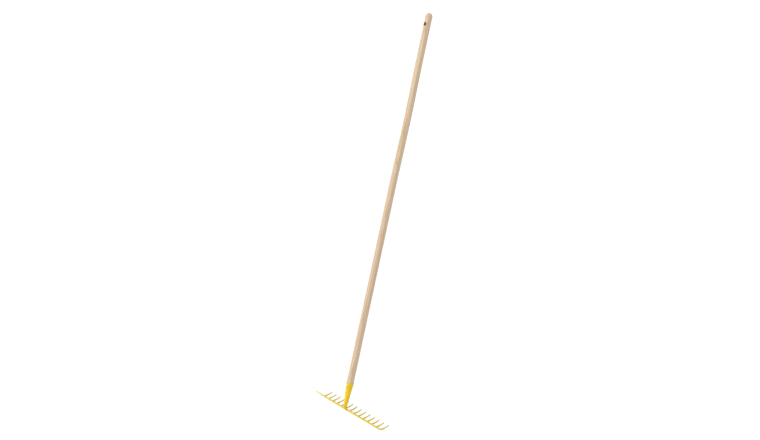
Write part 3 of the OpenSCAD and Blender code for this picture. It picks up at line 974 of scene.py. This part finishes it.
# Painted shade: the plating is darkened in inward creases, the inner corners of the crossed slots
plate = tint(tree, calc(tree, "MULTIPLY", crease, 0.4), plate, (0.42, 0.30, 0.10, 1))
tree.links.new(plate, shader.inputs["Base Color"])
shader.inputs["Metallic"].default_value = 0.9
turned = calc_vector(tree, "MULTIPLY", place, (1.0, 6.0, 1.0))
lines = cloud(tree, turned, 2.2, 3.0)
tree.links.new(ease(tree, lines, 0.3, 0.7, 0.24, 0.42), shader.inputs["Roughness"])
relief = calc(tree, "MULTIPLY", lines, 0.02)
bump = node(tree, "ShaderNodeBump", {"Height": relief, "Distance": 1 * mm, "Strength": 0.8})
tree.links.new(bump.outputs["Normal"], shader.inputs["Normal"])

screw_low, screw_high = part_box("socket_screws")
head_radius = 4.0 * mm
slot_width = 1.2 * mm
slot_length = 4.8 * mm
shank_radius = 2.0 * mm
screw_rings = [
    round_ring(shank_radius - 0.1 * mm, -2.4 * mm),
    round_ring(shank_radius, -2.1 * mm),
    round_ring(shank_radius, -1.2 * mm),
    round_ring(head_radius - 0.14 * mm, -0.95 * mm),
    round_ring(head_radius, -0.8 * mm),
    round_ring(head_radius, -0.2 * mm)]
for step in range(11):
    angle = math.radians(8.3 * step)
    dome = 0.45 * mm + 1.83 * mm * math.sin(angle)
    screw_rings.append(round_ring(head_radius * math.cos(angle), dome))
head = skin("head", screw_rings)
for turn in (0, 1):
    blade_rings = []
    for height, grow_by in ((1.15, -0.35), (1.3, -0.12), (2.6, 0.1)):
        long_half = slot_length / 2 + grow_by * 1.6 * mm
        short_half = slot_width / 2 + grow_by * 0.5 * mm
        side = Vector((short_half, 0, 0)) if turn else Vector((long_half, 0, 0))
        above = Vector((0, long_half, 0)) if turn else Vector((0, short_half, 0))
        blade_rings.append(rounded_ring(Vector((0, 0, height * mm)), side, above, 0.25 * mm, 3))
    blade = skin("blade", blade_rings)
    cut = head.modifiers.new("slot", "BOOLEAN")
    cut.operation = "DIFFERENCE"
    cut.solver = "EXACT"
    cut.object = blade
    settle(head)
    bpy.data.objects.remove(blade)
rounding = head.modifiers.new("soft_edges", "BEVEL")
rounding.width = 0.09 * mm
rounding.segments = 2
rounding.limit_method = "ANGLE"
rounding.angle_limit = math.radians(40)
settle(head)
head.data.transform(Matrix.Rotation(math.pi / 2, 4, "X"))

screw_tree, given, result = new_group(
    "driven_screws", "GeometryNodeTree",
    [("Seats", "Geometry", None), ("Screw", "Object", None), ("Turn", "Float", math.pi),
     ("Seed", "Int", 1), ("Finish", "Material", None)],
    [("Screws", "Geometry")])
model = node(screw_tree, "GeometryNodeObjectInfo", {
    "Object": given.outputs["Screw"]}).outputs["Geometry"]
turned = node(screw_tree, "FunctionNodeRandomValue", {
    2: 0.0, 3: given.outputs["Turn"], "Seed": given.outputs["Seed"]}, data_type="FLOAT").outputs[1]
turned = node(screw_tree, "ShaderNodeCombineXYZ", {"Y": turned}).outputs[0]
driven = node(screw_tree, "GeometryNodeInstanceOnPoints", {
    "Points": given.outputs["Seats"], "Instance": model, "Rotation": turned}).outputs[0]
driven = node(screw_tree, "GeometryNodeRealizeInstances", {"Geometry": driven}).outputs[0]
driven = node(screw_tree, "GeometryNodeSetMaterial", {
    "Geometry": driven, "Material": given.outputs["Finish"]}).outputs[0]
screw_tree.links.new(driven, result.inputs["Screws"])

seats = bpy.data.meshes.new("seats")
seat_points = []
for z in (screw_high.z - head_radius, screw_low.z + head_radius):
    seat_points.append(Vector((0, -cone_radius(z + head_radius), z)))
seats.from_pydata(seat_points, [], [])
screws = grow("socket_screws", screw_tree, seats, {
    "Screw": head, "Turn": math.pi, "Seed": 4, "Finish": zinc})
bpy.data.objects.remove(head)
fit(screws, zinc, "zinc", "socket_screws")
